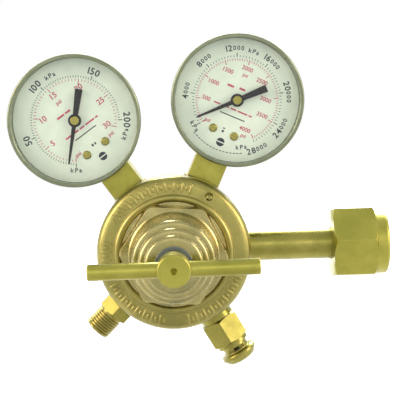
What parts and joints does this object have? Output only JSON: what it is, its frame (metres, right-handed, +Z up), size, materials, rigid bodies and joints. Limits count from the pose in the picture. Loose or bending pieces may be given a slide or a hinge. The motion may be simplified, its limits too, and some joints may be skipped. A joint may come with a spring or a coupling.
{
  "type": "gas regulator",
  "caption": "Gas pressure regulator: beehive bonnet with T-bar screw, two round gauges, long inlet nipple with hex nut, hose outlet and relief valve.",
  "frame": {"origin": "centre of the inlet nut's mouth", "axes": "+X out of the inlet along the nipple, -Y towards the front (adjusting screw and dials), +Z up towards the gauges"},
  "size_m": [0.1964, 0.0991, 0.1758],
  "materials": {
    "forged_brass": "satin forged brass",
    "machined_brass": "satin turned brass",
    "bright_brass": "bright turned brass",
    "steel": "satin",
    "spring_steel": "dark drawn wire",
    "gauge_case": "satin, olive toned",
    "dial_face": "satin white enamel",
    "pointer_black": "matt black",
    "lens": "clear",
    "rubber": "matt black",
    "ptfe": "white",
    "bronze": "sintered or drawn bronze"
  },
  "bodies": {
    "regulator": {"regulator_body": "forged_brass", "bonnet": "forged_brass", "bonnet_bushing": "steel", "adjusting_spring": "spring_steel", "slip_ring": "steel", "diaphragm": "rubber", "nozzle": "bright_brass", "marginal_spring": "spring_steel", "inlet_nipple": "bright_brass", "inlet_filter": "bronze", "outlet_fitting": "bright_brass", "relief_body": "bright_brass", "relief_spring": "spring_steel", "relief_cap": "bright_brass", "low_gauge_socket": "machined_brass", "low_gauge_case": "gauge_case", "low_gauge_bezel": "gauge_case", "low_gauge_lens": "lens", "low_gauge_dial": "dial_face", "low_gauge_dial_screws": "bright_brass", "low_gauge_movement": "bright_brass", "low_gauge_bourdon_tube": "bronze", "low_gauge_hairspring": "bronze", "high_gauge_socket": "machined_brass", "high_gauge_case": "gauge_case", "high_gauge_bezel": "gauge_case", "high_gauge_lens": "lens", "high_gauge_dial": "dial_face", "high_gauge_dial_screws": "bright_brass", "high_gauge_movement": "bright_brass", "high_gauge_bourdon_tube": "bronze", "high_gauge_hairspring": "bronze"},
    "spring_button": {"spring_button": "steel"},
    "adjusting_screw": {"adjusting_screw": "machined_brass", "handle_bar": "machined_brass"},
    "diaphragm_plate": {"diaphragm_plate": "machined_brass"},
    "valve_stem": {"valve_stem": "steel", "valve_seat": "ptfe"},
    "relief_poppet": {"relief_poppet": "bright_brass", "relief_seat": "rubber"},
    "inlet_nut": {"inlet_nut": "machined_brass"},
    "low_gauge_pointer": {"low_gauge_pointer": "pointer_black", "low_gauge_pointer_hub": "bright_brass", "low_gauge_pinion": "steel"},
    "low_gauge_sector": {"low_gauge_sector": "bright_brass"},
    "low_gauge_link": {"low_gauge_link": "steel", "low_gauge_tube_tip": "bright_brass"},
    "high_gauge_pointer": {"high_gauge_pointer": "pointer_black", "high_gauge_pointer_hub": "bright_brass", "high_gauge_pinion": "steel"},
    "high_gauge_sector": {"high_gauge_sector": "bright_brass"},
    "high_gauge_link": {"high_gauge_link": "steel", "high_gauge_tube_tip": "bright_brass"}
  },
  "joints": [
    {"name": "screw_advance", "type": "slide", "parent": "regulator", "child": "spring_button", "axis": [0, 1, 0], "range_m": [-0.00889, 0.00254], "deforming": ["adjusting_spring"]},
    {"name": "adjusting_screw_turn", "type": "hinge", "parent": "spring_button", "child": "adjusting_screw", "pos_m": [-0.113, -0.06, 0], "axis": [0, 1, 0], "range_deg": [-2520, 720]},
    {"name": "diaphragm_lift", "type": "slide", "parent": "regulator", "child": "diaphragm_plate", "axis": [0, 1, 0], "range_m": [0, 0.0005], "stiffness_N_per_m": 2000, "deforming": ["diaphragm"]},
    {"name": "valve_open", "type": "slide", "parent": "regulator", "child": "valve_stem", "axis": [0, 1, 0], "range_m": [0, 0.0005], "deforming": ["marginal_spring"]},
    {"name": "relief_lift", "type": "slide", "parent": "regulator", "child": "relief_poppet", "axis": [0.5, 0, -0.866], "range_m": [0, 0.0015], "stiffness_N_per_m": 1500, "deforming": ["relief_spring"]},
    {"name": "inlet_nut_spin", "type": "hinge", "parent": "regulator", "child": "inlet_nut", "pos_m": [-0.015, 0, 0], "axis": [1, 0, 0], "continuous": true},
    {"name": "low_link_pull", "type": "slide", "parent": "regulator", "child": "low_gauge_link", "axis": [0.8161, 0, 0.5779], "range_m": [0, 0.00327], "stiffness_N_per_m": 300, "deforming": ["low_gauge_bourdon_tube"]},
    {"name": "low_sector_swing", "type": "hinge", "parent": "regulator", "child": "low_gauge_sector", "pos_m": [-0.15417, 0, 0.05815], "axis": [0, 1, 0], "range_deg": [-27, 0]},
    {"name": "low_pointer_turn", "type": "hinge", "parent": "regulator", "child": "low_gauge_pointer", "pos_m": [-0.16212, 0, 0.06937], "axis": [0, 1, 0], "range_deg": [0, 270], "deforming": ["low_gauge_hairspring"]},
    {"name": "high_link_pull", "type": "slide", "parent": "regulator", "child": "high_gauge_link", "axis": [0.9114, 0, -0.4115], "range_m": [0, 0.00327], "stiffness_N_per_m": 300, "deforming": ["high_gauge_bourdon_tube"]},
    {"name": "high_sector_swing", "type": "hinge", "parent": "regulator", "child": "high_gauge_sector", "pos_m": [-0.08368, 0, 0.06494], "axis": [0, 1, 0], "range_deg": [-27, 0]},
    {"name": "high_pointer_turn", "type": "hinge", "parent": "regulator", "child": "high_gauge_pointer", "pos_m": [-0.07802, 0, 0.07747], "axis": [0, 1, 0], "range_deg": [0, 270], "deforming": ["high_gauge_hairspring"]}
  ],
  "couplings": [
    {"joint": "screw_advance", "follows": "adjusting_screw_turn", "m_per_rad": 0.00020213},
    {"joint": "valve_open", "follows": "diaphragm_lift", "ratio": 1},
    {"joint": "low_sector_swing", "follows": "low_link_pull", "rad_per_m": -144.18},
    {"joint": "low_pointer_turn", "follows": "low_link_pull", "rad_per_m": 1441.8},
    {"joint": "high_sector_swing", "follows": "high_link_pull", "rad_per_m": -144.18},
    {"joint": "high_pointer_turn", "follows": "high_link_pull", "rad_per_m": 1441.8}
  ]
}
